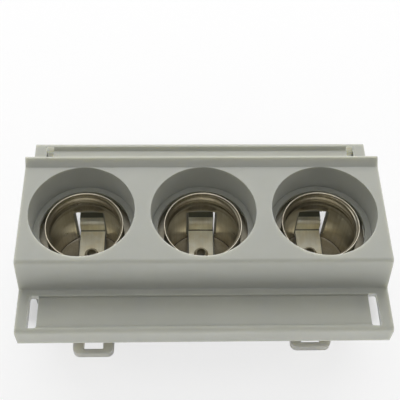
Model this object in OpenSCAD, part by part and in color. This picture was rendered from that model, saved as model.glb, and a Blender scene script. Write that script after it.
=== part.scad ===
// Three-pole base for screw-in fuses, with a moulded cover and rail latches.
// Millimetres, +Z up, front at -Y. The origin is the centre of the underside.

/* [Poles] */
// Distance between neighbouring fuse axes
pole_pitch = 42; // [40:0.5:50]

/* [Cover] */
// Diameter of the three round openings
opening_d = 36.6; // [35:0.2:40]
// Height of the skirt's lower edge above the terminal shelves
skirt_gap = 12; // [10:0.1:16]
// Height of the skirt, up to the ledges
skirt_h = 8; // [7:0.5:12]
// Height of the raised block above the ledges
block_h = 13; // [10:0.5:18]
// Depth of each ledge, from the foot of the block to the lip
ledge_d = 16; // [15:0.5:22]
// Flat land between the outer openings and the ends of the cover
end_land = 2.7; // [2:0.1:8]
// Flat land between the openings and the block's front edge
front_land = 2.3; // [1.6:0.1:5]
// Lean of the block's front face from its top edge to its foot
front_lean = 2.9; // [1:0.1:5]
// Lean of the block's rear face from the rib to its foot
rear_lean = 1.9; // [1:0.1:5]
// Height of the rib along the rear top edge
rib_h = 2; // [0.8:0.1:4]
// Depth of the rib's sloping front side
rib_run = 2.7; // [1.5:0.1:5]
// Width of the rib's flat top
rib_top = 0.8; // [0.6:0.1:3]
// Wall thickness of the cover
cover_wall = 2.2; // [1.8:0.1:3]
// Depth of the collar wall inside each opening, down to its step
collar_depth = 12; // [6:0.1:13]
// Thickness of the step at the bottom of the collar
step_t = 1.6; // [1:0.1:3]
// Wall of the collar outside the opening
collar_wall = 1.8; // [1.2:0.1:2.4]
// Radius of the block's front top edge
edge_r = 1.6; // [0.5:0.1:2.5]
// Radius of the lips of the ledges
lip_r = 1.5; // [0.5:0.1:2.5]
// Radius of the inner corners at the foot of the block
foot_r = 0.5; // [0.3:0.1:2.2]
// Radius of the small edges of the rib
rib_r = 0.5; // [0.2:0.05:0.8]

/* [Label fields] */
// Depth of each sunk label field
label_depth = 1.2; // [0.3:0.1:1.3]
// Land between the foot of the block and the label field
label_land = 2.3; // [1.6:0.1:4]
// Land between the label field and the lip
label_lip = 1.8; // [1.5:0.1:3]
// Land between the end of the cover and the label field
label_end = 4; // [3:0.1:8]
// Width of the through slots at the ends of the label fields
slot_w = 2.8; // [1:0.1:4]
// Radius of the slots' corners
slot_r = 0.7; // [0.1:0.1:1]

/* [Shells] */
// Inner diameter of the shell, at the thread's roots
shell_d = 26.6; // [24:0.1:28]
// Depth of the thread
thread_depth = 0.8; // [0.4:0.1:1.4]
// Pitch of the thread
thread_pitch = 3.6; // [2.5:0.1:4.2]
// Number of thread turns
thread_turns = 2; // [1:1:3]
// Sheet thickness of the shell
shell_t = 0.5; // [0.4:0.05:0.8]
// Overall height of the shell
shell_h = 29; // [26:0.5:33]
// How far the rolled rim stands outside the shell's wall
rim_out = 0.35; // [0.1:0.05:0.8]
// Thickness of the shell's floor
shell_floor_t = 0.6; // [0.4:0.05:1]
// Radius inside the drawn corner between the shell's wall and its floor
shell_corner = 3; // [1.5:0.1:4]
// Gap between the rim and the step of the collar
ring_gap = 2; // [1:0.1:2.5]

/* [Contacts] */
// Width of the contact straps and of the load bars' legs
strap_w = 9.4; // [7:0.1:10.5]
// Thickness of the contact straps
strap_t = 1.2; // [0.8:0.1:1.6]
// Height of the strap's flat end above the well floor
strap_lift = 0.6; // [0.6:0.1:1.2]
// Distance of the strap's riser behind the shell's inner wall
strap_back = 1.55; // [1.1:0.05:2]
// Length of the strap between its riser and the wall behind it
strap_ledge = 2.95; // [2.4:0.05:3.4]
// Radius inside the strap's bends
bend_r = 0.4; // [0.2:0.1:1]
// Clear height over the strap where it passes the wall of the well block
passage_h = 3.5; // [1:0.1:6]
// Length of the strap beyond the fuse axis
strap_nose = 6; // [4.5:0.1:8]
// Distance of the eyelet behind the fuse axis
eyelet_y = 4.1; // [3:0.1:6]
// Diameter of the eyelet's flange
eyelet_d = 5.4; // [5.2:0.1:7]
// Height of the eyelet's flange
eyelet_h = 0.7; // [0.4:0.1:0.8]
// Width of the flat top of the eyelet's flange
eyelet_lip = 0.3; // [0.1:0.05:0.4]
// Depth of the eyelet's dish below the top of the strap
eyelet_dish = 0.3; // [0.1:0.05:0.4]
// Bore of the eyelet
eyelet_bore = 2.8; // [2.2:0.1:3]
// Wall of the eyelet's tube
eyelet_wall = 0.7; // [0.6:0.05:0.9]
// Length of the eyelet's tube below the strap
eyelet_tail = 1.4; // [0.8:0.1:1.6]
// Thickness of the load bars
bar_t = 1.5; // [1:0.1:2.2]
// Margin of the load bar's plate outside the shell
plate_rim = 3.2; // [2.6:0.1:4]
// Diameter of the rivet shanks
rivet_d = 3; // [2:0.1:3.4]
// Diameter of the rivet heads
rivet_head_d = 5; // [4:0.1:5.4]
// Height of the rivet heads
rivet_head_h = 1.2; // [0.8:0.1:2]
// Length of the rivet shanks in the base
rivet_l = 7; // [4:0.5:8]

/* [Terminals] */
// Distance of the terminal screws from the lip of the ledge
terminal_inset = 12.2; // [11.8:0.1:12.8]
// Diameter of the terminal screws
screw_d = 5; // [4:0.1:5.4]
// Length of the terminal screws under the head
screw_l = 9.6; // [9:0.1:9.8]
// Diameter of the screw heads
head_d = 8.6; // [7:0.1:9.2]
// Height of the screw heads
head_h = 3.2; // [2.4:0.1:3.3]
// Width of the screwdriver slot
drive_w = 1.2; // [0.8:0.1:1.6]
// Depth of the screwdriver slot
drive_depth = 1.6; // [1:0.1:2]
// Thickness of the clamp plates
clamp_t = 2; // [1.5:0.1:2.1]
// Length of the clamp plates along the wire
clamp_l = 9.4; // [8:0.1:10]
// Thickness of the clamp plate's side lips
clamp_lip = 1.2; // [0.8:0.1:1.8]
// Height of the side lips below the plate
clamp_lip_h = 1; // [0.4:0.1:1.2]
// Side of the square nuts
nut_w = 8; // [7:0.1:8.6]
// Thickness of the square nuts
nut_t = 4; // [3:0.1:4.5]

/* [Base] */
// Depth of the rail channel
rail_depth = 6; // [5:0.1:8]
// Width of the rail
rail_w = 35; // [35:0.1:36]
// Depth of the foot on each side of the rail channel
foot_d = 4.1; // [3.6:0.1:6]
// Lean of the foot's outer faces, from the underside up to the well floor
foot_lean = 5; // [4:0.1:8]
// Thickness of the well floor above the rail channel
floor_t = 3.6; // [3:0.1:5]
// Height of the shelves above the well floor
shelf_rise = 5.4; // [5:0.1:6.5]
// Thickness of the shelves
shelf_t = 7; // [6.8:0.1:8]
// Height of the shelf's upright edge, above its bevel
shelf_edge = 2; // [1:0.1:4]
// Depth of the bevel under the shelf's edge
shelf_bevel = 2.4; // [0.5:0.1:2.6]
// Distance of the shelf's edge inside the lip of the cover
shelf_inset = 6.5; // [6:0.1:6.8]
// Height of the block round the wells above the shelves
well_rise = 13.3; // [11:0.1:15]
// Distance of the base's ends inside the ends of the cover
base_inset = 8; // [7:0.1:9]
// Margin of the well block outside the load bar's plate
block_rim = 3.4; // [2.8:0.1:3.9]
// Width of the vents beside the contact straps
vent_w = 6.6; // [4:0.1:7]
// Height of the beam that closes the vents behind the strap's pocket
vent_roof = 4; // [3:0.1:6]
// Width of shelf left behind the vents
vent_end = 4.2; // [3:0.1:6]
// Thickness of the barriers between the terminals
barrier_t = 2.4; // [1.6:0.1:4]
// How far the rail hooks and latches reach under the rail
hook_reach = 2; // [1:0.1:2.6]
// Thickness of the rail's flange, with play
rail_flange = 1.3; // [1:0.1:2]
// Thickness of the rail hooks
hook_t = 2.4; // [1.5:0.1:3]
// Length of each rail hook
hook_l = 30; // [12:0.5:36]

/* [Rail latches] */
// Distance of each latch from the middle of the base
latch_x = 40; // [30:0.5:42]
// Width of the latches
latch_w = 14.8; // [12:0.1:16]
// Thickness of the latches
latch_t = 3; // [2:0.1:3.2]
// Length of the latches
latch_l = 16.5; // [15:0.1:20]
// Width of the latch's head on each side outside its bar
latch_head = 1.3; // [0.8:0.1:2]
// Length of the latch's head
latch_head_l = 2; // [1.6:0.1:2.4]
// Bevel of the latch's nose
latch_bevel = 1.5; // [0.5:0.1:1.8]
// Radius of the tab's outer corners
latch_r = 2.4; // [1:0.1:3]
// Width of the pull loop
loop_w = 7.2; // [5:0.1:9]
// Length of the pull loop
loop_l = 5.5; // [5:0.1:7]
// Bar at the end of the pull loop
loop_bar = 1.9; // [1.6:0.1:4]
// Travel of the latches, from locked to released
latch_travel = 4; // [3:0.1:4.2]
// How far the left latch stands out of its locked place
left_out = 1.9; // [0:0.1:3]

/* [Snap legs] */
// Distance of the snap legs from the middle
leg_y = 9; // [6:0.5:14]
// Width of the snap legs
leg_w = 5; // [3:0.5:8]
// Distance of the legs' lower ends below the top of the well block
leg_drop = 10; // [6:0.5:14]
// Height of the snap nib
nib_h = 1.4; // [0.8:0.1:2]
// How far the snap nib stands out of its leg
nib_out = 0.25; // [0.1:0.05:0.28]

/* [Clearances] */
// Clearance between pieces that slide past each other
slide_gap = 0.3; // [0.2:0.05:0.4]
// Clearance between the cover and the barriers that it rests on
seat_gap = 0.2; // [0.1:0.05:0.4]
// Play of a shaft in its bore, on the radius
bore_gap = 0.05; // [0.02:0.01:0.1]
// Clearance of a screw in a plain hole, on the radius
hole_gap = 0.25; // [0.15:0.05:0.4]
// Clearance round the live strap where it passes the shell
strap_gap = 1.1; // [0.8:0.05:1.4]
// Clearance beside the strap in the shell's floor
floor_gap = 0.5; // [0.4:0.05:0.7]

/* [Hidden] */
$fn = 72;
eps = 0.01;
SIDES = [-1, 1];
POLES = [-pole_pitch, 0, pole_pitch];

// Cover
opening_r = opening_d / 2;
cover_hw = pole_pitch + opening_r + end_land;
floor_z = rail_depth + floor_t;
shelf_z = floor_z + shelf_rise;
skirt_z = shelf_z + skirt_gap;
ledge_z = skirt_z + skirt_h;
top_z = ledge_z + block_h;
front_edge = opening_r + front_land;
rib_y = opening_r;
rib_round = min(rib_r, 0.6 * rib_top);
rib_back = rib_y + rib_run + rib_top;
foot_y = max(front_edge + front_lean, rib_back + rear_lean);
step_z = top_z - collar_depth;
label_hw = cover_hw - label_end;
slot_round = min(slot_r, slot_w / 3);
under_z = ledge_z - cover_wall;

// Base
block_z = shelf_z + well_rise;
rail_hw = rail_w / 2 + slide_gap / 2;
foot_hy = rail_hw + foot_d;
foot_top = foot_hy + foot_lean;
base_hw = cover_hw - base_inset;
barrier_z = under_z - seat_gap;

// Shells
shell_r = shell_d / 2;
shell_out = shell_r + shell_t;
rim_r = shell_out + rim_out;
rim_z = floor_z + shell_h;
well_r = shell_out + slide_gap;
step_r = rim_r + ring_gap;

// Contacts
plate_h = shell_out + plate_rim;
block_hy = plate_h + block_rim;
block_hx = pole_pitch + plate_h + slide_gap;
flat_z = floor_z + strap_lift;
rivet_at = plate_h - rivet_head_d / 2 - slide_gap;
window_z = block_z - slide_gap;
riser_y = shell_r + strap_back;
pocket_y = riser_y + strap_ledge;

// Terminals, under ledges that are deep enough for them
lip_y = max(foot_y + ledge_d, block_hy + bar_t + slide_gap + clamp_l / 2 + terminal_inset);
terminal_y = lip_y - terminal_inset;
shelf_y = lip_y - shelf_inset;
strap_end = shelf_y + slide_gap;
screw_r = screw_d / 2;
clamp_w = strap_w + 2 * (slide_gap + clamp_lip);
pocket_w = nut_w + slide_gap;

// Latches
latch_z = rail_depth - rail_flange - latch_t;
latch_nose = rail_w / 2 - hook_reach;
latch_stop = latch_nose + latch_head_l + latch_travel + slide_gap;
leg_z = block_z - leg_drop;
leg_t = cover_hw - cover_wall - block_hx - slide_gap;

// Points of an arc that rounds the corner b between a and c
function unit(v) = v / norm(v);
function turn(u, v) = u[0] * v[1] - u[1] * v[0];
function corner(a, b, c, r, n = 6) =
    let (u = unit(a - b), v = unit(c - b), half = acos(u * v) / 2, m = b + unit(u + v) * r / sin(half),
        p = b + u * r / tan(half), start = atan2(p[1] - m[1], p[0] - m[0]),
        sweep = (180 - 2 * half) * (turn(u, v) > 0 ? -1 : 1))
    [for (i = [0:n]) m + r * [cos(start + sweep * i / n), sin(start + sweep * i / n)]];

// A closed outline from points [y, z, radius]; a radius of 0 keeps the corner sharp
function outline(pts) =
    let (n = len(pts))
    [for (i = [0:n - 1])
        let (a = pts[(i + n - 1) % n], b = pts[i], c = pts[(i + 1) % n])
        each (b[2] == 0 ? [[b[0], b[1]]] : corner([a[0], a[1]], [b[0], b[1]], [c[0], c[1]], b[2]))];

// Radius of the shell's inner wall at a height t below the end of the thread
function thread_r(t) = shell_r - thread_depth * (1 - cos(360 * t / thread_pitch)) / 2;

module along_x(hw) {
    translate([-hw, 0, 0])
        rotate([90, 0, 90])
            linear_extrude(2 * hw) children();
}

module box(x, y, z) {
    translate([x[0], y[0], z[0]])
        cube([x[1] - x[0], y[1] - y[0], z[1] - z[0]]);
}

// Cover: the outer form
module cover_outline() {
    polygon(outline([
        [-lip_y, skirt_z, 0],
        [-lip_y, ledge_z, lip_r],
        [-foot_y, ledge_z, foot_r],
        [-front_edge, top_z, edge_r],
        [rib_y, top_z, 0],
        [rib_y + rib_run, top_z + rib_h, rib_round],
        [rib_back, top_z + rib_h, rib_round],
        [foot_y, ledge_z, foot_r],
        [lip_y, ledge_z, lip_r],
        [lip_y, skirt_z, 0]]));
}

// Cover: the hollow under it
module cover_hollow() {
    polygon([
        [-lip_y + cover_wall, skirt_z - 1],
        [-lip_y + cover_wall, under_z],
        [-foot_y + cover_wall, under_z],
        [-front_edge + cover_wall, top_z - cover_wall],
        [rib_back - cover_wall, top_z - cover_wall],
        [foot_y - cover_wall, under_z],
        [lip_y - cover_wall, under_z],
        [lip_y - cover_wall, skirt_z - 1]]);
}

module snap_leg(side) {
    inner = block_hx + slide_gap;
    for (y = SIDES) {
        translate([side * (inner + leg_t / 2 + cover_wall / 4), y * leg_y, (leg_z + under_z) / 2])
            cube([leg_t + cover_wall / 2, leg_w, under_z - leg_z], center = true);
        translate([side * (inner + (leg_t - nib_out) / 2), y * leg_y, leg_z + nib_h])
            cube([leg_t + nib_out, leg_w, nib_h], center = true);
    }
}

module cover() {
    color([0.68, 0.68, 0.65])
    difference() {
        union() {
            difference() {
                along_x(cover_hw) cover_outline();
                along_x(cover_hw - cover_wall) cover_hollow();
            }
            for (x = POLES) {
                translate([x, 0, step_z - step_t])
                    cylinder(r = opening_r + collar_wall, h = top_z - cover_wall / 2 - step_z + step_t);
            }
            for (s = SIDES) {
                snap_leg(s);
            }
        }
        for (x = POLES) {
            translate([x, 0, step_z])
                cylinder(r = opening_r, h = collar_depth + rib_h + 1);
            translate([x, 0, step_z - step_t - 1])
                cylinder(r = step_r, h = step_t + 2);
        }
        for (s = SIDES) {
            label_field(s);
        }
    }
}

// One sunk label field, sloping up to the lip, with a through slot at each end
module label_field(side) {
    near = foot_y + label_land;
    far = lip_y - label_lip;
    low = ledge_z - label_depth;
    over = ledge_z + 1;
    mid = label_hw - slot_w / 2;
    slot_hl = (far - near) / 2;
    along_x(mid)
        polygon([[side * near, over], [side * near, low], [side * (far - label_depth), low],
            [side * (far + over - ledge_z), over]]);
    for (x = SIDES) {
        translate([x * mid, side * (near + far) / 2, under_z - 1])
            linear_extrude(cover_wall + 2)
                polygon(outline([
                    [-slot_w / 2, -slot_hl, slot_round],
                    [slot_w / 2, -slot_hl, slot_round],
                    [slot_w / 2, slot_hl, slot_round],
                    [-slot_w / 2, slot_hl, slot_round]]));
    }
}

// Base
module base_solid() {
    along_x(base_hw)
        polygon([[-foot_hy, 0], [foot_hy, 0], [foot_top, floor_z], [-foot_top, floor_z]]);
    along_x(base_hw)
        polygon([
            [-shelf_y, shelf_z], [shelf_y, shelf_z],
            [shelf_y, shelf_z - shelf_edge], [shelf_y - shelf_bevel, shelf_z - shelf_t],
            [-shelf_y + shelf_bevel, shelf_z - shelf_t], [-shelf_y, shelf_z - shelf_edge]]);
    box([-block_hx, block_hx], [-block_hy, block_hy], [rail_depth, block_z]);
    barriers();
}

module barriers() {
    rows = [-base_hw + barrier_t / 2, -pole_pitch / 2, pole_pitch / 2, base_hw - barrier_t / 2];
    for (x = rows) {
        for (s = SIDES) {
            translate([x, s * (block_hy + shelf_y) / 2, (shelf_z + barrier_z) / 2 - eps])
                cube([barrier_t, shelf_y - block_hy, barrier_z - shelf_z + 2 * eps], center = true);
        }
    }
}

module rail_channel() {
    difference() {
        box([-cover_hw, cover_hw], [-rail_hw, rail_hw], [-1, rail_depth]);
        for (x = SIDES) {
            translate([x * (base_hw - hook_l / 2), rail_hw, rail_depth - rail_flange - hook_t / 2])
                cube([hook_l, 2 * hook_reach, hook_t], center = true);
        }
    }
}

module latch_guide(side) {
    z = [latch_z - slide_gap, latch_z + latch_t + slide_gap];
    hw = latch_w / 2 + slide_gap;
    hh = hw + latch_head;
    x = side * latch_x;
    box([x - hw, x + hw], [-foot_top - 1, 0], z);
    box([x - hh, x + hh], [-latch_stop, 0], z);
}

// Well of one pole, with the strap's pocket behind it and the rivet holes round it
module well(x) {
    channel = [x - strap_w / 2 - slide_gap, x + strap_w / 2 + slide_gap];
    translate([x, 0, floor_z])
        cylinder(r = well_r, h = block_z);
    box(channel, [0, pocket_y], [floor_z, block_z + 1]);
    box(channel, [0, block_hy + eps], [shelf_z, shelf_z + strap_t + passage_h]);
    vents(x);
    for (sx = SIDES) {
        for (sy = SIDES) {
            translate([x + sx * rivet_at, sy * rivet_at, block_z - rivet_l])
                cylinder(d = rivet_d, h = rivet_l + 1);
        }
    }
}

// Open shafts down through the base on both sides of the strap, under a beam behind its pocket
module vents(x) {
    inner = strap_w / 2 + slide_gap;
    near = sqrt(pow(well_r, 2) - pow(inner, 2));
    for (s = SIDES) {
        w = s > 0 ? [x + inner - eps, x + inner + vent_w] : [x - inner - vent_w, x - inner + eps];
        box(w, [near, pocket_y], [-1, block_z + 1]);
        box(w, [near, shelf_y - vent_end], [-1, block_z - vent_roof]);
    }
}

// Pocket for a nut, with a blind hole under it for the tip of the screw
module terminal_pocket(x, side, t) {
    translate([x, side * terminal_y, shelf_z - nut_t / 2])
        cube([pocket_w, pocket_w, nut_t + 2 * eps], center = true);
    translate([x, side * terminal_y, head_z(t) - screw_l - slide_gap])
        cylinder(r = screw_r + hole_gap, h = screw_l);
}

module base_body() {
    color([0.6, 0.6, 0.58])
    difference() {
        union() {
            difference() {
                base_solid();
                for (x = POLES) {
                    well(x);
                }
                rail_channel();
            }
            for (x = POLES) {
                box([x - strap_w / 2, x + strap_w / 2], [-strap_nose, pad_back()], [floor_z - eps, flat_z]);
            }
        }
        for (x = POLES) {
            translate([x, eyelet_y, flat_z - eyelet_tail - slide_gap])
                cylinder(r = eyelet_bore / 2 + eyelet_wall + slide_gap, h = floor_z);
            terminal_pocket(x, -1, bar_t);
            terminal_pocket(x, 1, strap_t);
        }
        for (s = SIDES) {
            latch_guide(s);
            nib_groove(s);
        }
    }
}

module nib_groove(side) {
    for (y = SIDES) {
        translate([side * block_hx, y * leg_y, leg_z + nib_h])
            cube([2 * (nib_out + slide_gap), leg_w + 2 * slide_gap, nib_h + 2 * slide_gap], center = true);
    }
}

// Rear end of the pad under the strap's flat end
function pad_back() = riser_y - bend_r;

// Threaded shell, in section
module shell_section() {
    n = 10 * thread_turns;
    h = thread_turns * thread_pitch;
    top = rim_z - 2 * shell_t;
    inner = [for (i = [0:n]) [thread_r(h * i / n), top - h + h * i / n]];
    outer = [for (i = [n:-1:0]) [thread_r(h * i / n) + shell_t, top - h + h * i / n]];
    flat = shell_r - shell_corner;
    up = floor_z + shell_floor_t;
    polygon(concat(
        corner([flat - shell_t, up], [shell_r, up], [shell_r, rim_z], shell_corner),
        inner,
        [[shell_r + rim_out / 2, rim_z - shell_t / 2], [shell_out - shell_t / 2 + rim_out / 2, rim_z],
            [rim_r - shell_t / 4, rim_z], [rim_r, rim_z - shell_t / 2], [rim_r, rim_z - shell_t],
            [shell_out, rim_z - 1.6 * shell_t]],
        outer,
        corner([shell_out, rim_z], [shell_out, floor_z], [flat - shell_t, floor_z], shell_corner + shell_t)));
}

module screw_shell(x) {
    gap = strap_w / 2 + strap_gap;
    low = strap_w / 2 + floor_gap;
    color([0.72, 0.69, 0.62])
    translate([x, 0, 0])
    difference() {
        union() {
            rotate_extrude() shell_section();
            translate([0, 0, floor_z])
                cylinder(r = shell_r - shell_corner + eps, h = shell_floor_t);
        }
        box([-low, low], [-shell_r + shell_corner, rim_r], [floor_z - 1, flat_z + 2 * strap_t]);
        translate([0, 0, floor_z - 1])
            difference() {
                cylinder(r = shell_r - plate_rim, h = shell_floor_t + 2);
                box([-shell_r, shell_r], [strap_t * 3, shell_r], [-1, shell_floor_t + 3]);
            }
        box([-gap, gap], [0, rim_r], [flat_z + strap_t + floor_gap, window_z]);
    }
}

// Plate round the shell, with its leg down to the front terminal
module load_bar(x) {
    color([0.74, 0.71, 0.64])
    translate([x, 0, 0])
    difference() {
        union() {
            box([-plate_h, plate_h], [-plate_h, plate_h], [block_z, block_z + bar_t]);
            box([-strap_w / 2, strap_w / 2], [-block_hy - bar_t, 0], [block_z, block_z + bar_t]);
            box([-strap_w / 2, strap_w / 2], [-block_hy - bar_t, -block_hy], [shelf_z, block_z + bar_t]);
            box([-strap_w / 2, strap_w / 2], [-strap_end, -block_hy], [shelf_z, shelf_z + bar_t]);
        }
        translate([0, 0, block_z - 1])
            cylinder(r = shell_out + bore_gap, h = bar_t + 2);
        translate([0, -terminal_y, shelf_z - 1])
            cylinder(r = screw_r + hole_gap, h = bar_t + 2);
        for (sx = SIDES) {
            for (sy = SIDES) {
                translate([sx * rivet_at, sy * rivet_at, block_z - 1])
                    cylinder(d = rivet_d, h = bar_t + 2);
            }
        }
    }
}

// Strap from the rear terminal, down behind the shell and through its slot to the floor of the well
module contact_strap(x) {
    bend_out = bend_r + strap_t;
    color([0.78, 0.75, 0.67])
    translate([x, 0, 0])
    difference() {
        along_x(strap_w / 2)
            polygon(outline([
                [-strap_nose, flat_z, 0],
                [riser_y + strap_t, flat_z, bend_out],
                [riser_y + strap_t, shelf_z, bend_r],
                [strap_end, shelf_z, 0],
                [strap_end, shelf_z + strap_t, 0],
                [riser_y, shelf_z + strap_t, bend_out],
                [riser_y, flat_z + strap_t, bend_r],
                [-strap_nose, flat_z + strap_t, 0]]));
        translate([0, eyelet_y, flat_z - 1])
            cylinder(r = eyelet_bore / 2 + eyelet_wall, h = strap_t + 2);
        translate([0, terminal_y, shelf_z - 1])
            cylinder(r = screw_r + hole_gap, h = strap_t + 2);
    }
}

// Eyelet with a dished flange, which holds the strap's flat end down
module eyelet(x) {
    bore = eyelet_bore / 2;
    tube = bore + eyelet_wall;
    z = flat_z + strap_t;
    r = eyelet_d / 2;
    color([0.8, 0.77, 0.7])
    translate([x, eyelet_y, 0])
        rotate_extrude()
            polygon([
                [bore, flat_z - eyelet_tail],
                [tube, flat_z - eyelet_tail],
                [tube, z],
                [r, z],
                [r - eyelet_h, z + eyelet_h],
                [r - eyelet_h - eyelet_lip, z + eyelet_h],
                [bore, z - eyelet_dish]]);
}

module shell_rivets() {
    color([0.74, 0.72, 0.68])
    for (x = POLES) {
        for (sx = SIDES) {
            for (sy = SIDES) {
                translate([x + sx * rivet_at, sy * rivet_at, block_z - rivet_l])
                    union() {
                        cylinder(d = rivet_d, h = rivet_l + bar_t + eps);
                        translate([0, 0, rivet_l + bar_t])
                            cylinder(d1 = rivet_head_d, d2 = rivet_head_d * 0.7, h = rivet_head_h);
                    }
            }
        }
    }
}

module terminal_nuts() {
    color([0.72, 0.71, 0.68])
    for (x = POLES) {
        for (s = SIDES) {
            translate([x, s * terminal_y, shelf_z - nut_t / 2])
                difference() {
                    cube([nut_w, nut_w, nut_t], center = true);
                    cylinder(r = screw_r + bore_gap, h = nut_t + 2, center = true);
                }
        }
    }
}

// Height of the clamp plate's underside when it is screwed down on a bar of thickness t
function clamp_z(t) = shelf_z + t + slide_gap;

// Height of the screw head's underside above that clamp plate
function head_z(t) = clamp_z(t) + clamp_t + slide_gap / 2;

module clamp(x, side, t) {
    color([0.75, 0.74, 0.7])
    translate([x, side * terminal_y, clamp_z(t)])
    difference() {
        union() {
            translate([-clamp_w / 2, -clamp_l / 2, 0])
                cube([clamp_w, clamp_l, clamp_t]);
            for (s = SIDES) {
                translate([s * (clamp_w - clamp_lip) / 2, 0, (clamp_t - clamp_lip_h) / 2])
                    cube([clamp_lip, clamp_l, clamp_t + clamp_lip_h], center = true);
            }
        }
        translate([0, 0, -clamp_lip_h - 1])
            cylinder(r = screw_r + hole_gap, h = clamp_t + clamp_lip_h + 2);
    }
}

module terminal_screw(x, side, t) {
    color([0.77, 0.76, 0.72])
    translate([x, side * terminal_y, head_z(t)])
    difference() {
        union() {
            translate([0, 0, -screw_l])
                cylinder(r = screw_r, h = screw_l + eps);
            cylinder(d = head_d, h = head_h * 0.7);
            translate([0, 0, head_h * 0.7 - eps])
                cylinder(d1 = head_d, d2 = head_d * 0.86, h = head_h * 0.3 + eps);
        }
        translate([0, 0, head_h - drive_depth / 2])
            cube([head_d + 2, drive_w, drive_depth + eps], center = true);
    }
}

// Latch: a bar with a wider bevelled head under the rail and a pull loop at its outer end
module rail_latch(side, out) {
    hw = latch_w / 2;
    hh = hw + latch_head;
    tip = latch_nose;
    tail = latch_nose + latch_l;
    neck = latch_nose + latch_head_l;
    color([0.7, 0.69, 0.63])
    translate([side * latch_x, -out, latch_z])
    intersection() {
        difference() {
            linear_extrude(latch_t)
                polygon(outline([
                    [-hh, -tip, 0],
                    [-hh, -neck, 0],
                    [-hw, -neck, 0],
                    [-hw, -tail, latch_r],
                    [hw, -tail, latch_r],
                    [hw, -neck, 0],
                    [hh, -neck, 0],
                    [hh, -tip, 0]]));
            box([-loop_w / 2, loop_w / 2], [-tail + loop_bar, -tail + loop_bar + loop_l], [-1, latch_t + 1]);
        }
        along_x(hh + 1)
            polygon([
                [-tail - 1, 0],
                [-tip - latch_bevel, 0],
                [-tip, latch_bevel],
                [-tip, latch_t],
                [-tail - 1, latch_t]]);
    }
}

base_body();
cover();
screw_shell(POLES[0]);  // screw_shell_left
screw_shell(POLES[1]);  // screw_shell_middle
screw_shell(POLES[2]);  // screw_shell_right
load_bar(POLES[0]);  // load_bar_left
load_bar(POLES[1]);  // load_bar_middle
load_bar(POLES[2]);  // load_bar_right
contact_strap(POLES[0]);  // contact_strap_left
contact_strap(POLES[1]);  // contact_strap_middle
contact_strap(POLES[2]);  // contact_strap_right
eyelet(POLES[0]);  // eyelet_left
eyelet(POLES[1]);  // eyelet_middle
eyelet(POLES[2]);  // eyelet_right
shell_rivets();
terminal_nuts();
clamp(POLES[0], -1, bar_t);  // clamp_front_left
clamp(POLES[1], -1, bar_t);  // clamp_front_middle
clamp(POLES[2], -1, bar_t);  // clamp_front_right
clamp(POLES[0], 1, strap_t);  // clamp_rear_left
clamp(POLES[1], 1, strap_t);  // clamp_rear_middle
clamp(POLES[2], 1, strap_t);  // clamp_rear_right
terminal_screw(POLES[0], -1, bar_t);  // screw_front_left
terminal_screw(POLES[1], -1, bar_t);  // screw_front_middle
terminal_screw(POLES[2], -1, bar_t);  // screw_front_right
terminal_screw(POLES[0], 1, strap_t);  // screw_rear_left
terminal_screw(POLES[1], 1, strap_t);  // screw_rear_middle
terminal_screw(POLES[2], 1, strap_t);  // screw_rear_right
rail_latch(-1, left_out);  // rail_latch_left
rail_latch(1, 0);  // rail_latch_right
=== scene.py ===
import math
import bmesh
import bpy
from mathutils import Matrix, Vector


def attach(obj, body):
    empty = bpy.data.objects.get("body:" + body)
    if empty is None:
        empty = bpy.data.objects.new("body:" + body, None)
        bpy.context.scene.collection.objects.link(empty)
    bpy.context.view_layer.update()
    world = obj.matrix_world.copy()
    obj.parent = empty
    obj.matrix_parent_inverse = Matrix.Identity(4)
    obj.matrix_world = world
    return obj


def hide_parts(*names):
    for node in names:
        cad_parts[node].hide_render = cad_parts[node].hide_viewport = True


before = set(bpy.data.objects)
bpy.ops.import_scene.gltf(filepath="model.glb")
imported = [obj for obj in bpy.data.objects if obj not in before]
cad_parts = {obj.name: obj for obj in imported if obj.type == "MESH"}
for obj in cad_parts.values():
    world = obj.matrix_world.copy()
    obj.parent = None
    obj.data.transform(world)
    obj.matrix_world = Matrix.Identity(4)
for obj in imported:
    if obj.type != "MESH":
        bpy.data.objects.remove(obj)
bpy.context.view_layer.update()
scene = bpy.context.scene
MM = 0.001


# Sizes of the object, in mm

POLE_PITCH = 42.0
POLES = {"left": -POLE_PITCH, "middle": 0.0, "right": POLE_PITCH}
# Screw shell: inner radius, sheet, corner at the foot, underside and top, upper side of its floor
SHELL_R, SHELL_T, SHELL_CORNER = 13.3, 0.5, 0.5
SHELL_LOW, SHELL_TOP = 9.6, 38.6
SHELL_FLOOR = SHELL_LOW + 0.6
# Window in the shell's rear wall: half widths below and above a step, the step and the top
WINDOW_LOW_HW, WINDOW_HW = 5.2, 5.8
WINDOW_STEP, WINDOW_TOP = 11.9, 28.0
# Bead along the window's top: how far it stands in, its upper end, the part of half a wave in its section
BEAD_IN, BEAD_TOP, BEAD_WAVE = 0.6, 30.2, 0.8
# Thread: lower and upper end, pitch and depth, parts of its height over which it fades in and out
THREAD_LOW, THREAD_TOP = 31.4, 37.9
THREAD_PITCH, THREAD_DEPTH = 3.6, 0.65
THREAD_START, THREAD_END = 0.16, 0.1
# Rim of the shell from inside to outside, from the inner wall's radius and the shell's top
RIM = [(0.04, -0.5), (0.1, -0.26), (0.2, -0.1), (0.3, -0.02), (0.4, 0.0),
       (0.48, -0.02), (0.54, -0.1), (0.56, -0.22), (0.54, -0.4), (0.52, -0.7)]
# Opening in the shell's floor: its radius, its straight rear edge, and the floor's lap under the wall
FLOOR_HOLE_R, FLOOR_HOLE_BACK, FLOOR_LAP = 10.1, 3.6, 0.02
# Strap: top of its flat end, front of its riser
STRAP_TOP, STRAP_RISER = 11.4, 14.85


# Node helpers

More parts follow.
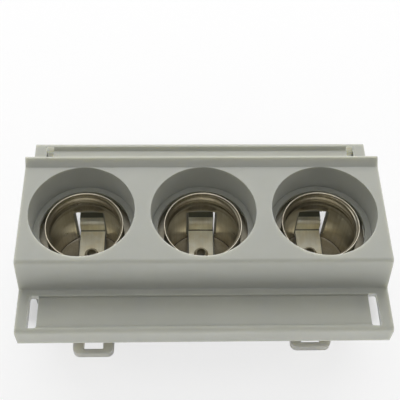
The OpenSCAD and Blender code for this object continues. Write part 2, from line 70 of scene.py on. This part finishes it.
# Inputs of a node: a socket is linked, any other value is set
def fill(tree, node, inputs):
    for key, value in inputs.items():
        if isinstance(value, bpy.types.NodeSocket):
            tree.links.new(value, node.inputs[key])
        else:
            node.inputs[key].default_value = value


def add(tree, kind, inputs=None, **settings):
    node = tree.nodes.new(kind)
    for name, value in settings.items():
        setattr(node, name, value)
    fill(tree, node, inputs or {})
    return node


# Emptied node tree of a material or world, ready for its own nodes
def empty_tree(owner):
    owner.use_nodes = True
    owner.node_tree.nodes.clear()
    return owner.node_tree


def new_material(name):
    mat = bpy.data.materials.new(name)
    tree = empty_tree(mat)
    shader = add(tree, "ShaderNodeBsdfPrincipled")
    add(tree, "ShaderNodeOutputMaterial", {"Surface": shader.outputs["BSDF"]})
    return mat, tree, shader


def calculate(tree, operation, *values):
    return add(tree, "ShaderNodeMath", dict(enumerate(values)), operation=operation).outputs["Value"]


# Place of a point on the part at rest, in metres
def coords(tree):
    return add(tree, "ShaderNodeTexCoord").outputs["Object"]


def coord(tree, axis):
    return add(tree, "ShaderNodeSeparateXYZ", {"Vector": coords(tree)}).outputs[axis]


def stretched(tree, scale):
    return add(tree, "ShaderNodeMapping", {"Vector": coords(tree), "Scale": scale}).outputs["Vector"]


def noise(tree, vector, scale, detail, rough):
    inputs = {"Vector": vector, "Scale": scale, "Detail": detail, "Roughness": rough}
    return add(tree, "ShaderNodeTexNoise", inputs).outputs["Fac"]


# Value carried from one range to another, and kept inside it
def mapped(tree, value, source, target, kind="LINEAR"):
    inputs = dict(zip(("From Min", "From Max", "To Min", "To Max"), (*source, *target)))
    inputs["Value"] = value
    return add(tree, "ShaderNodeMapRange", inputs, interpolation_type=kind).outputs["Result"]


# Colours at places from 0 to 1
def color_ramp(tree, value, stops):
    ramp = add(tree, "ShaderNodeValToRGB", {"Fac": value})
    elements = ramp.color_ramp.elements
    while len(elements) < len(stops):
        elements.new(1.0)
    for element, (place, color) in zip(elements, stops):
        element.position = place
        element.color = (*color, 1)
    return ramp.outputs["Color"]


# Part of a noise's range that is spread over the whole of another
NOISE_RANGE = (0.3, 0.7)


def spread(tree, fac, low, high):
    return mapped(tree, fac, NOISE_RANGE, (low, high))


def two_tone(tree, fac, dark, light):
    return color_ramp(tree, fac, list(zip(NOISE_RANGE, (dark, light))))


def shade(color, factor):
    return tuple(min(1.0, c * factor) for c in color)


BEVEL_SAMPLES = 4


# Normal of a fine relief; the part's edges look rounded over the given radius
def bump(tree, height, strength, distance, edge):
    inputs = {"Height": height, "Strength": strength, "Distance": distance}
    if edge:
        bevel = add(tree, "ShaderNodeBevel", {"Radius": edge}, samples=BEVEL_SAMPLES)
        inputs["Normal"] = bevel.outputs["Normal"]
    return add(tree, "ShaderNodeBump", inputs).outputs["Normal"]


# Colour times a factor
def times(tree, tone, factor):
    inputs = {"Factor": 1.0, "A": tone, "B": factor}
    return add(tree, "ShaderNodeMix", inputs, data_type="RGBA", blend_type="MULTIPLY").outputs["Result"]


# Another colour where the mask is 1
def painted(tree, tone, mask, color):
    inputs = {"Factor": mask, "A": tone, "B": (*color, 1)}
    return add(tree, "ShaderNodeMix", inputs, data_type="RGBA").outputs["Result"]


# 1 inside a range of distances from the middle plane on each axis, in mm, and 0 outside
def inside(tree, spans):
    mask = 1.0
    for axis, (low, high) in spans.items():
        distance = calculate(tree, "ABSOLUTE", coord(tree, axis))
        within = calculate(tree, "COMPARE", distance, MM * (low + high) / 2, MM * (high - low) / 2)
        mask = calculate(tree, "MULTIPLY", within, mask)
    return mask


# Colour times a factor that changes with the height: pairs of height in mm and factor
def graded(tree, tone, stops):
    low, high = stops[0][0], stops[-1][0]
    share = mapped(tree, coord(tree, "Z"), (MM * low, MM * high), (0.0, 1.0))
    greys = [((height - low) / (high - low), (factor, factor, factor)) for height, factor in stops]
    return times(tree, tone, color_ramp(tree, share, greys))


# Materials

# Each noise: scale, detail, roughness
CLOUDS = (34.0, 4.0, 0.6)
SKIN = (2600.0, 3.0, 0.65)
PATCHES = (160.0, 5.0, 0.62)
DRAW_LINES = (1.0, 2.0, 0.5)
# Relief of the plastic's skin and of the metal's draw lines
SKIN_RELIEF = 0.06 * MM
LINE_STRENGTH, LINE_RELIEF = 0.12, 0.05 * MM
# Change of the roughness from one end of the noise to the other
SKIN_ROUGH = (-0.05, 0.07)
PATCH_ROUGH = (0.07, -0.04)


# Moulded plastic: slight cloudiness in its colour, fine eroded grain on its skin, light passing through
# thin walls,
# and painted light: a pale colour on the given places, which stand in shade
def plastic(name, color, rough, grain, edge, variation=0.03, through=0.0, reach=2 * MM, painted_light_at=None):
    mat, tree, shader = new_material(name)
    cloud = noise(tree, coords(tree), *CLOUDS)
    skin = noise(tree, coords(tree), *SKIN)
    tone = two_tone(tree, cloud, shade(color, 1 - variation), shade(color, 1 + variation))
    if painted_light_at:
        # Painted light: a paler colour where the mask is 1, standing in for light on surfaces in shade
        tone = painted(tree, tone, inside(tree, painted_light_at), SLOT_WALL_PAINTED_LIGHT)
    fill(tree, shader, {
        "Base Color": tone,
        "Roughness": spread(tree, skin, *(rough + change for change in SKIN_ROUGH)),
        "Normal": bump(tree, skin, grain, SKIN_RELIEF, edge),
        "IOR": 1.5,
        "Specular IOR Level": 0.4,
        "Subsurface Weight": through,
        "Subsurface Radius": (1.0, 0.95, 0.75),
        "Subsurface Scale": reach})
    return mat


# Plated sheet: faint draw lines, tarnish in patches, painted shade that changes with the height, painted
# shade in given places
def plated(name, color, rough, lines, edge=0.0, tarnish=0.1, warm=(1.0, 0.94, 0.8), streak=0.03,
           heights=None, painted_shade_at=()):
    mat, tree, shader = new_material(name)
    patch = noise(tree, coords(tree), *PATCHES)
    line = noise(tree, stretched(tree, lines), *DRAW_LINES)
    tarnished = tuple(c * (1 - tarnish) * w for c, w in zip(color, warm))
    tone = two_tone(tree, patch, tarnished, color)
    tone = times(tree, tone, spread(tree, line, 1 - streak, 1 + streak))
    if heights:
        # Painted shade that changes with the height
        tone = graded(tree, tone, heights)
    for spans in painted_shade_at:
        # Painted shade: a dark colour where each mask is 1
        tone = painted(tree, tone, inside(tree, spans), STRAP_PAINTED_SHADE)
    fill(tree, shader, {
        "Base Color": tone,
        "Roughness": spread(tree, patch, *(rough + change for change in PATCH_ROUGH)),
        "Normal": bump(tree, line, LINE_STRENGTH, LINE_RELIEF, edge),
        "Metallic": 1.0})
    return mat


# Painted light on the walls of the slots at the ends of the label fields, which lie in shade: a pale
# colour, and the walls in mm from the middle planes
SLOT_WALL_PAINTED_LIGHT = (0.82, 0.83, 0.79)
SLOT_WALLS = {"X": (56.1, 59.05), "Y": (25.8, 38.4), "Z": (22.0, 34.9)}

# Painted shade on the strap: the far end of its ledge, out of the light, and a dark line of shade in the
# fold at the foot of its riser
STRAP_PAINTED_SHADE = (0.26, 0.26, 0.21)
STRAP_LEDGE_END = {"Y": (17.7, 20.8)}
STRAP_FOLD = {"Y": (STRAP_RISER - 0.45, STRAP_RISER + 0.05), "Z": (STRAP_TOP - 0.1, STRAP_TOP + 0.25)}

# Painted shade on the shell by height, darker where the cup lies in shade: floor, foot, wall, turn below
# the thread, thread, rim
SHELL_PAINTED_SHADE = [(SHELL_FLOOR + 0.1, 0.26),
               (SHELL_FLOOR + SHELL_CORNER + 0.1, 1.0), (16.5, 1.0),
               (19.5, 0.62), (23.0, 0.42), (29.2, 0.4),
               (29.8, 0.29), (32.5, 0.32),
               (34.0, 0.62), (37.8, 0.62),
               (SHELL_TOP, 0.48)]

# The cover carries painted light: a pale colour on its slot walls
cover_mat = plastic("cover_grey", (0.405, 0.412, 0.37), rough=0.46, grain=0.16, edge=0.25 * MM,
                    through=0.8, reach=4 * MM, painted_light_at=SLOT_WALLS)
base_mat = plastic("base_grey", (0.36, 0.36, 0.33), rough=0.55, grain=0.2, edge=0.2 * MM, variation=0.05)
latch_mat = plastic("latch_cream", (0.93, 0.895, 0.74), rough=0.42, grain=0.1, edge=0.3 * MM,
                    through=0.85, reach=6 * MM)
shell_mat = plated("shell_nickel", (0.91, 0.865, 0.745), rough=0.3, lines=(1500, 1500, 40),
                   tarnish=0.14, streak=0.1, heights=SHELL_PAINTED_SHADE)
bar_mat = plated("bar_nickel", (0.48, 0.46, 0.4), rough=0.42, lines=(60, 1400, 60), edge=0.2 * MM)
strap_mat = plated("strap_nickel", (0.97, 0.955, 0.84), rough=0.62, lines=(1500, 50, 50), edge=0.2 * MM,
                   painted_shade_at=(STRAP_LEDGE_END, STRAP_FOLD))
eyelet_mat = plated("eyelet_nickel", (0.6, 0.57, 0.48), rough=0.32, lines=(700, 700, 700))
zinc_mat = plated("zinc_steel", (0.6, 0.6, 0.58), rough=0.34, lines=(800, 800, 300), edge=0.15 * MM,
                  tarnish=0.08, warm=(0.98, 1.0, 1.0))

# Material of each node, by the start of its name
LOOKS = {"base_body": base_mat, "cover": cover_mat, "rail_latch": latch_mat, "screw_shell": shell_mat,
         "load_bar": bar_mat, "contact_strap": strap_mat, "eyelet": eyelet_mat, "shell_rivets": zinc_mat,
         "terminal_nuts": zinc_mat, "clamp": zinc_mat, "screw_front": zinc_mat, "screw_rear": zinc_mat}
for name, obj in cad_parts.items():
    for start, mat in LOOKS.items():
        if name.startswith(start):
            for slot in obj.material_slots:
                slot.material = mat


# Screw shells: a drawn cup with a rolled helical thread, a turned rim and a window for the strap

# Points of the mesh: heights of the plain wall in mm, steps up the section, columns round it
WALL_HEIGHTS = (16.0, 20.0, 24.0, 27.4)
CORNER_STEPS, BEAD_STEPS, THREAD_STEPS = 8, 8, 40
WALL_COLUMNS, WINDOW_COLUMNS, BEAD_FADE_COLUMNS = 132, 24, 4
COLUMNS = WALL_COLUMNS + WINDOW_COLUMNS
FLOOR_OUTER_STEPS, FLOOR_INNER_STEPS = 32, 20
SHARP_ANGLE = math.radians(40)
WELD_DISTANCE = 1e-6


def between(low, high, steps):
    return [low + (high - low) * i / steps for i in range(steps + 1)]


# How far the thread stands in at a height and an angle
def thread_in(z, angle):
    t = (z - THREAD_LOW) / (THREAD_TOP - THREAD_LOW)
    if t <= 0 or t >= 1:
        return 0.0
    fade = min(1.0, t / THREAD_START, (1 - t) / THREAD_END)
    fade = fade * fade * (3 - 2 * fade)
    return THREAD_DEPTH * fade * 0.5 * (1 - math.cos(2 * math.pi * z / THREAD_PITCH - angle))


# How far the bead stands in at a height and a column above the window
def bead_in(z, column):
    if column <= WALL_COLUMNS or z >= BEAD_TOP:
        return 0.0
    t = (BEAD_TOP - z) / (BEAD_TOP - WINDOW_TOP)
    fade = min(1.0, (column - WALL_COLUMNS) / BEAD_FADE_COLUMNS, (COLUMNS - column) / BEAD_FADE_COLUMNS)
    return BEAD_IN * math.sin(math.pi * BEAD_WAVE * t) * fade


# One side of the wall from the floor up: radius, height, half width of the window
def shell_wall(radius, corner, low):
    turns = between(0.0, math.pi / 2, CORNER_STEPS)
    rows = [(radius - corner + corner * math.sin(a), low + corner * (1 - math.cos(a))) for a in turns]
    heights = [*WALL_HEIGHTS, *between(WINDOW_TOP, BEAD_TOP, BEAD_STEPS),
               *between(THREAD_LOW, THREAD_TOP, THREAD_STEPS)]
    rows += [(radius, z) for z in heights]
    wall = []
    for (r0, z0), (r, z) in zip([rows[0], *rows], rows):
        if z0 < WINDOW_STEP <= z:
            step_r = r0 + (r - r0) * (WINDOW_STEP - z0) / (z - z0)
            wall += [(step_r, WINDOW_STEP, WINDOW_LOW_HW), (step_r, WINDOW_STEP, WINDOW_HW)]
        wall.append((r, z, WINDOW_LOW_HW if z < WINDOW_STEP else WINDOW_HW))
    return wall


# Angle of a column: the first ones go round the wall from one side of the window to the other,
# and the rest cross above the window
def column_angle(column, radius, half_width):
    near = math.asin(half_width / radius)
    if column <= WALL_COLUMNS:
        return math.pi / 2 + near + 2 * (math.pi - near) * column / WALL_COLUMNS
    return math.pi / 2 - near + 2 * near * (column - WALL_COLUMNS) / WINDOW_COLUMNS


# Section of the shell up its inner wall, over the rim and down its outer wall, with True where the thread
# and the bead shape it, and the place in that list where the window's top comes
def shell_section():
    inner = shell_wall(SHELL_R, SHELL_CORNER, SHELL_FLOOR)
    outer = shell_wall(SHELL_R + SHELL_T, SHELL_CORNER + SHELL_T, SHELL_LOW)
    section = [(*row, True) for row in inner]
    section += [(SHELL_R + out, SHELL_TOP + up, WINDOW_HW, False) for out, up in RIM]
    section += [(*row, True) for row in reversed(outer)]
    return section, [z for r, z, half_width in inner].index(WINDOW_TOP)


# Points of the section in one column, or None inside the window
def add_column(bm, x, column, section, first):
    points = []
    for n, (r, z, half_width, shaped) in enumerate(section):
        if column > WALL_COLUMNS and not first <= n < len(section) - first:
            points.append(None)
            continue
        a = column_angle(column, r, half_width)
        if shaped:
            r -= thread_in(z, a) + bead_in(z, column)
        points.append(bm.verts.new((MM * (x + r * math.cos(a)), MM * r * math.sin(a), MM * z)))
    return points


# Wall round the shell and above its window, closed below and along the window's sides
def add_wall(bm, x):
    section, first = shell_section()
    last = len(section) - 1
    columns = [add_column(bm, x, i, section, first) for i in range(COLUMNS)]
    for i in range(COLUMNS):
        a, b = columns[i], columns[(i + 1) % COLUMNS]
        low, high = (0, last) if i < WALL_COLUMNS else (first, last - first)
        for n in range(low, high):
            bm.faces.new((a[n], b[n], b[n + 1], a[n + 1]))
        bm.faces.new((a[high], b[high], b[low], a[low]))
    for edge in (columns[0], columns[WALL_COLUMNS]):
        for n in range(first):
            bm.faces.new((edge[n], edge[n + 1], edge[last - 1 - n], edge[last - n]))


# One half of the shell's floor, beside the strap
def add_half_floor(bm, x, side):
    rim = SHELL_R - SHELL_CORNER + FLOOR_LAP
    end = math.asin(WINDOW_LOW_HW / rim)
    low = math.asin(WINDOW_LOW_HW / FLOOR_HOLE_R)
    high = math.asin(FLOOR_HOLE_BACK / FLOOR_HOLE_R)
    outline = [(rim * math.cos(a), rim * math.sin(a))
               for a in between(math.pi / 2 - end, end - math.pi / 2, FLOOR_OUTER_STEPS)]
    outline += [(FLOOR_HOLE_R * math.cos(a), FLOOR_HOLE_R * math.sin(a))
                for a in between(low - math.pi / 2, high, FLOOR_INNER_STEPS)]
    outline.append((WINDOW_LOW_HW, FLOOR_HOLE_BACK))
    under, upper = [[bm.verts.new((MM * (x + side * px), MM * py, MM * z)) for px, py in outline]
                    for z in (SHELL_LOW, SHELL_FLOOR)]
    bm.faces.new(under)
    bm.faces.new(upper)
    for k in range(len(outline)):
        m = (k + 1) % len(outline)
        bm.faces.new((under[k], under[m], upper[m], upper[k]))


def make_shell(name, x):
    bm = bmesh.new()
    add_wall(bm, x)
    add_half_floor(bm, x, 1)
    add_half_floor(bm, x, -1)
    bmesh.ops.remove_doubles(bm, verts=bm.verts, dist=WELD_DISTANCE)
    bmesh.ops.recalc_face_normals(bm, faces=bm.faces)
    mesh = bpy.data.meshes.new(name)
    bm.to_mesh(mesh)
    bm.free()
    for face in mesh.polygons:
        face.use_smooth = True
    mesh.set_sharp_from_angle(angle=SHARP_ANGLE)
    mesh.materials.append(shell_mat)
    piece = bpy.data.objects.new(name, mesh)
    scene.collection.objects.link(piece)
    return piece


for side, place in POLES.items():
    shell = make_shell("shell_" + side, place)
    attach(shell, "base")
    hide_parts("screw_shell_" + side)


# Floor, world and lamps, in metres

FLOOR_HALF, FLOOR_DROP = 3.0, 0.0002
FLOOR_COLOR = (0.93, 0.93, 0.93, 1)
# Area of painted shadow under the object, where the floor's own white is mostly taken away: middle and
# half length on each axis, and the ramp across its edge
PAINTED_SHADOW_AREA = {"X": (0.0, 0.066), "Y": (0.023, 0.041)}
PAINTED_SHADOW_EDGE = (-0.002, 0.006)
# Share of plain white in the floor inside and outside that area
WHITE_SHARE = (0.1, 0.75)
WORLD_LIGHT = 0.1


# 1 for rays from the camera, a mirror or a clear surface, 0 for light that falls on the object
def seen_rays(tree):
    path = add(tree, "ShaderNodeLightPath")
    mirrored = calculate(tree, "MAXIMUM", path.outputs["Is Camera Ray"], path.outputs["Is Glossy Ray"])
    return calculate(tree, "MAXIMUM", mirrored, path.outputs["Is Transmission Ray"])


# Share of the floor's own white: little of it under the object, more with the distance from its outline,
# so that a deeper shadow is painted under the object
def white_share(tree):
    past = []
    for axis, (middle, half) in PAINTED_SHADOW_AREA.items():
        distance = calculate(tree, "ABSOLUTE", calculate(tree, "SUBTRACT", coord(tree, axis), middle))
        past.append(calculate(tree, "SUBTRACT", distance, half))
    return mapped(tree, calculate(tree, "MAXIMUM", *past), PAINTED_SHADOW_EDGE, WHITE_SHARE, "SMOOTHSTEP")


# Floor, white round the object, keeping its shadow, with painted shadow deepened under it
def make_floor():
    mesh = bpy.data.meshes.new("floor")
    corners = [(-FLOOR_HALF, -FLOOR_HALF, 0), (FLOOR_HALF, -FLOOR_HALF, 0),
               (FLOOR_HALF, FLOOR_HALF, 0), (-FLOOR_HALF, FLOOR_HALF, 0)]
    mesh.from_pydata(corners, [], [(0, 1, 2, 3)])
    floor = bpy.data.objects.new("floor", mesh)
    scene.collection.objects.link(floor)
    floor.location.z = -FLOOR_DROP
    mat = bpy.data.materials.new("floor_white")
    tree = empty_tree(mat)
    diffuse = add(tree, "ShaderNodeBsdfDiffuse", {"Color": FLOOR_COLOR})
    white = add(tree, "ShaderNodeEmission", {"Strength": 1.0})
    share = calculate(tree, "MULTIPLY", seen_rays(tree), white_share(tree))
    mix = add(tree, "ShaderNodeMixShader",
              {"Fac": share, 1: diffuse.outputs["BSDF"], 2: white.outputs["Emission"]})
    add(tree, "ShaderNodeOutputMaterial", {"Surface": mix.outputs["Shader"]})
    mesh.materials.append(mat)


# World that is white where it is seen and gives little light
def make_world():
    world = bpy.data.worlds.new("studio")
    scene.world = world
    tree = empty_tree(world)
    strength = mapped(tree, seen_rays(tree), (0.0, 1.0), (WORLD_LIGHT, 1.0))
    sky = add(tree, "ShaderNodeBackground", {"Strength": strength})
    add(tree, "ShaderNodeOutputWorld", {"Surface": sky.outputs["Background"]})


def make_lamp(name, where, aim, size, power):
    data = bpy.data.lights.new(name, "AREA")
    data.shape = "RECTANGLE"
    data.size, data.size_y = size
    data.energy = power
    lamp = bpy.data.objects.new(name, data)
    scene.collection.objects.link(lamp)
    lamp.location = where
    lamp.rotation_euler = (Vector(aim) - Vector(where)).to_track_quat("-Z", "Y").to_euler()
    lamp.visible_camera = False


# Each lamp: name, place, point it is aimed at, width and height, watts
AIM = (0.0, 0.0, 0.03)
LAMPS = [("rear_high", (0.0, 0.7, 0.78), AIM, (2.0, 0.55), 8.4),
         ("rear_low", (0.0, 0.95, 0.45), AIM, (1.2, 0.4), 4.8),
         ("top_soft", (0.0, 0.0, 1.05), AIM, (0.5, 0.4), 1.5),
         ("left_low", (-0.95, 0.0, 0.45), AIM, (0.5, 0.4), 1.5),
         ("right_low", (0.95, 0.0, 0.45), AIM, (0.5, 0.4), 1.5),
         ("front_high", (0.0, -0.75, 0.6), AIM, (1.6, 0.5), 1.9),
         ("front_low", (0.0, -0.95, 0.45), AIM, (1.2, 0.4), 0.5),
         ("front_card", (0.0, -0.17, 0.004), (0.0, -0.17, 1.0), (0.5, 0.16), 0.6)]

make_floor()
make_world()
for lamp in LAMPS:
    make_lamp(*lamp)


# Camera at the photograph's place

# Photograph's width and focal length in pixels, sensor in mm
PHOTO_WIDTH, FOCAL_PIXELS = 400.0, 810.12
SENSOR_WIDTH = 36.0
CLIP_START = 0.01
CAMERA_PLACE = (-0.009061, -0.154605, 0.280482)
CAMERA_YAW, CAMERA_LIFT, CAMERA_ROLL = math.radians(2.838), math.radians(55.647), math.radians(2.123)


def make_camera():
    level = math.cos(CAMERA_LIFT)
    ahead = Vector((math.sin(CAMERA_YAW) * level, math.cos(CAMERA_YAW) * level, -math.sin(CAMERA_LIFT)))
    right = Vector((math.cos(CAMERA_YAW), -math.sin(CAMERA_YAW), 0))
    up = right.cross(ahead)
    side = right * math.cos(CAMERA_ROLL) + up * math.sin(CAMERA_ROLL)
    top = up * math.cos(CAMERA_ROLL) - right * math.sin(CAMERA_ROLL)
    data = bpy.data.cameras.new("camera")
    data.sensor_fit = "HORIZONTAL"
    data.sensor_width = SENSOR_WIDTH
    data.lens = FOCAL_PIXELS * SENSOR_WIDTH / PHOTO_WIDTH
    data.clip_start = CLIP_START
    camera = bpy.data.objects.new("camera", data)
    scene.collection.objects.link(camera)
    turn = Matrix((side, top, -ahead)).transposed().to_4x4()
    camera.matrix_world = Matrix.Translation(CAMERA_PLACE) @ turn
    scene.camera = camera


make_camera()
scene.view_settings.view_transform = "Standard"
